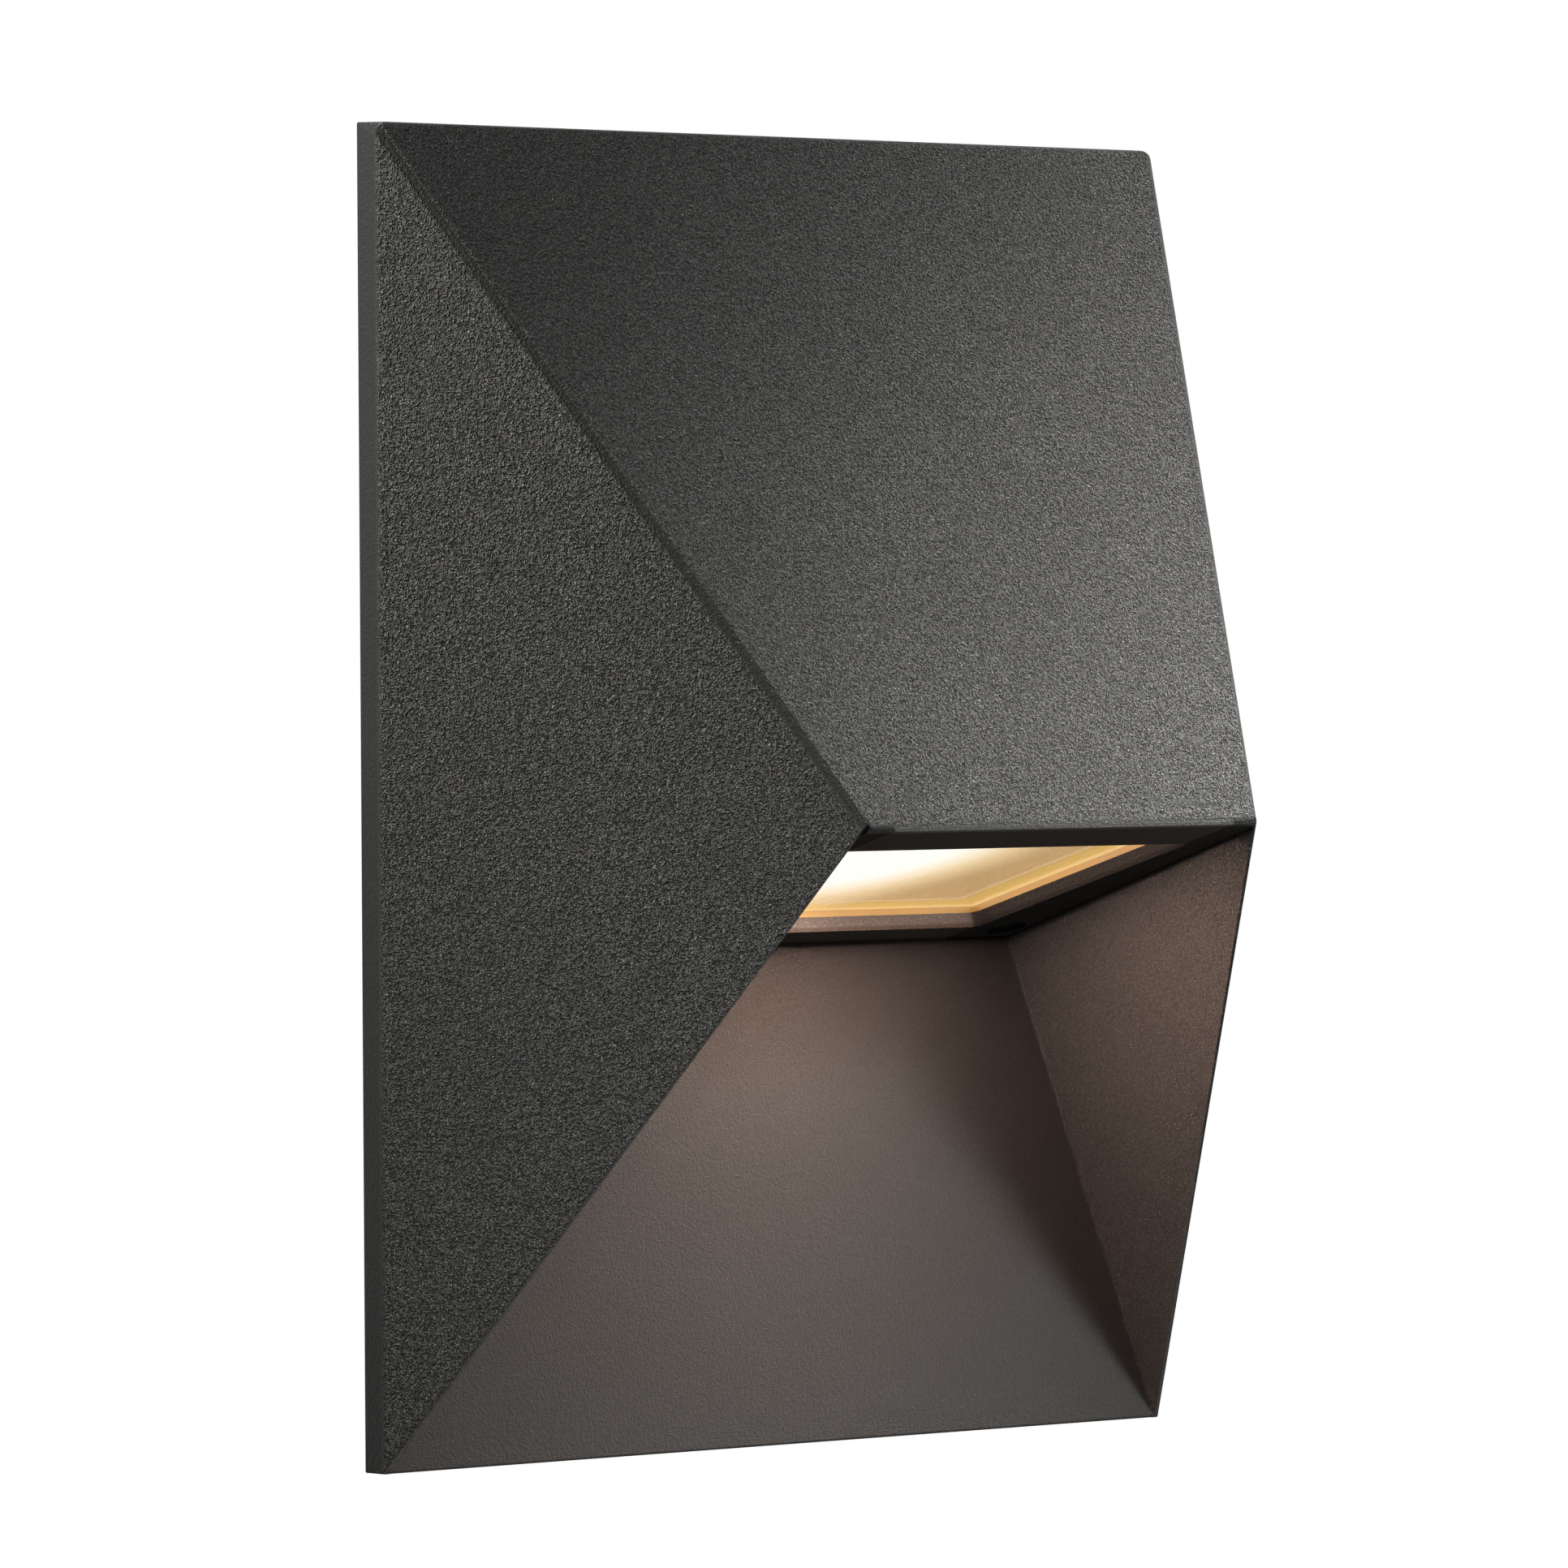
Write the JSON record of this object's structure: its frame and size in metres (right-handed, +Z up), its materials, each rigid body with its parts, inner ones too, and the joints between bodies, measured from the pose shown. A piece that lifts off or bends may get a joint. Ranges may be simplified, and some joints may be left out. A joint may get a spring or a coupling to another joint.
{
  "type": "outdoor wall light",
  "caption": "Faceted die-cast outdoor wall light that throws its light down the wall through a window in a tilted ledge; pulls off a steel wall bracket.",
  "frame": {"origin": "middle of the light's width and height, on the wall face of the bracket", "axes": "+Z up, +Y into the wall, +X to the right of a viewer who faces the wall"},
  "size_m": [0.15, 0.065, 0.19],
  "materials": {
    "powder_coat": "fine textured anthracite powder coat",
    "seal_rubber": "matt moulded seal",
    "seal_silicone": "cloudy silicone",
    "frosted_glass": "frosted on the inside",
    "white_plastic": "moulded white",
    "board_white": "white solder mask",
    "chip_yellow": "phosphor yellow",
    "pad_grey": "soft heat pad",
    "bare_aluminium": "rolled sheet",
    "screw_steel": "zinc plated",
    "zinc_sheet": "zinc plated sheet",
    "board_green": "green solder mask",
    "ferrite": "taped winding on a ferrite core",
    "capacitor_box": "moulded box of a film capacitor",
    "terminal_grey": "moulded grey",
    "spring_steel": "stamped",
    "button_green": "moulded",
    "button_orange": "moulded",
    "button_blue": "moulded",
    "plated_brass": "tin plated",
    "screw_brass": "turned",
    "lead_brown": "insulation",
    "lead_blue": "insulation",
    "lead_green": "insulation",
    "lead_red": "insulation",
    "lead_black": "insulation",
    "black_screw": "blackened stainless screw"
  },
  "bodies": {
    "wall_side": {"wall_bracket": "zinc_sheet", "cable_grommet": "seal_rubber"},
    "housing": {"front_housing": "powder_coat", "glass_gasket": "seal_silicone", "glass_pane": "frosted_glass", "reflector": "white_plastic", "led_board": "board_white", "led_chips": "chip_yellow", "thermal_pad": "pad_grey", "led_carrier": "bare_aluminium", "carrier_screws": "screw_steel", "board_screws": "screw_steel", "gear_tray": "zinc_sheet", "tray_screws": "screw_steel", "lead_bush": "seal_rubber", "driver_lid": "white_plastic", "driver_case": "white_plastic", "driver_board": "board_green", "driver_transformer": "ferrite", "driver_capacitors": "capacitor_box", "driver_screws": "screw_steel", "terminal_block": "terminal_grey", "terminal_springs": "spring_steel", "terminal_screws": "screw_steel", "earth_washer": "spring_steel", "earth_lug": "plated_brass", "earth_screw": "screw_brass", "live_lead": "lead_brown", "neutral_lead": "lead_blue", "earth_lead": "lead_green", "led_lead_positive": "lead_red", "led_lead_negative": "lead_black"},
    "terminal_button_earth": {"terminal_button_earth": "button_green"},
    "terminal_button_live": {"terminal_button_live": "button_orange"},
    "terminal_button_neutral": {"terminal_button_neutral": "button_blue"},
    "retaining_screw_left": {"retaining_screw_left": "black_screw"},
    "retaining_screw_right": {"retaining_screw_right": "black_screw"},
    "clamp_plate_left": {"clamp_plate_left": "zinc_sheet"},
    "clamp_plate_right": {"clamp_plate_right": "zinc_sheet"}
  },
  "joints": [
    {"name": "housing_pull_off", "type": "slide", "parent": "wall_side", "child": "housing", "axis": [0, -1, 0], "range_m": [0, 0.08]},
    {"name": "retaining_screw_left_turn", "type": "hinge", "parent": "housing", "child": "retaining_screw_left", "pos_m": [-0.0405, -0.0085, -0.014], "axis": [0, 0, 1], "range_deg": [0, 1080.1]},
    {"name": "clamp_plate_left_rise", "type": "slide", "parent": "housing", "child": "clamp_plate_left", "axis": [0, 0, 1], "range_m": [0, 0.0015]},
    {"name": "retaining_screw_right_turn", "type": "hinge", "parent": "housing", "child": "retaining_screw_right", "pos_m": [0.0405, -0.0085, -0.014], "axis": [0, 0, 1], "range_deg": [0, 1080.1]},
    {"name": "clamp_plate_right_rise", "type": "slide", "parent": "housing", "child": "clamp_plate_right", "axis": [0, 0, 1], "range_m": [0, 0.0015]},
    {"name": "button_earth_press", "type": "slide", "parent": "housing", "child": "terminal_button_earth", "axis": [0, -1, 0], "range_m": [0, 0.0012], "stiffness_N_per_m": 2500, "springref_m": -0.001},
    {"name": "button_live_press", "type": "slide", "parent": "housing", "child": "terminal_button_live", "axis": [0, -1, 0], "range_m": [0, 0.0012], "stiffness_N_per_m": 2500, "springref_m": -0.001},
    {"name": "button_neutral_press", "type": "slide", "parent": "housing", "child": "terminal_button_neutral", "axis": [0, -1, 0], "range_m": [0, 0.0012], "stiffness_N_per_m": 2500, "springref_m": -0.001}
  ],
  "couplings": [
    {"joint": "retaining_screw_left_turn", "follows": "clamp_plate_left_rise", "rad_per_m": 12566},
    {"joint": "retaining_screw_right_turn", "follows": "clamp_plate_right_rise", "rad_per_m": 12566}
  ]
}
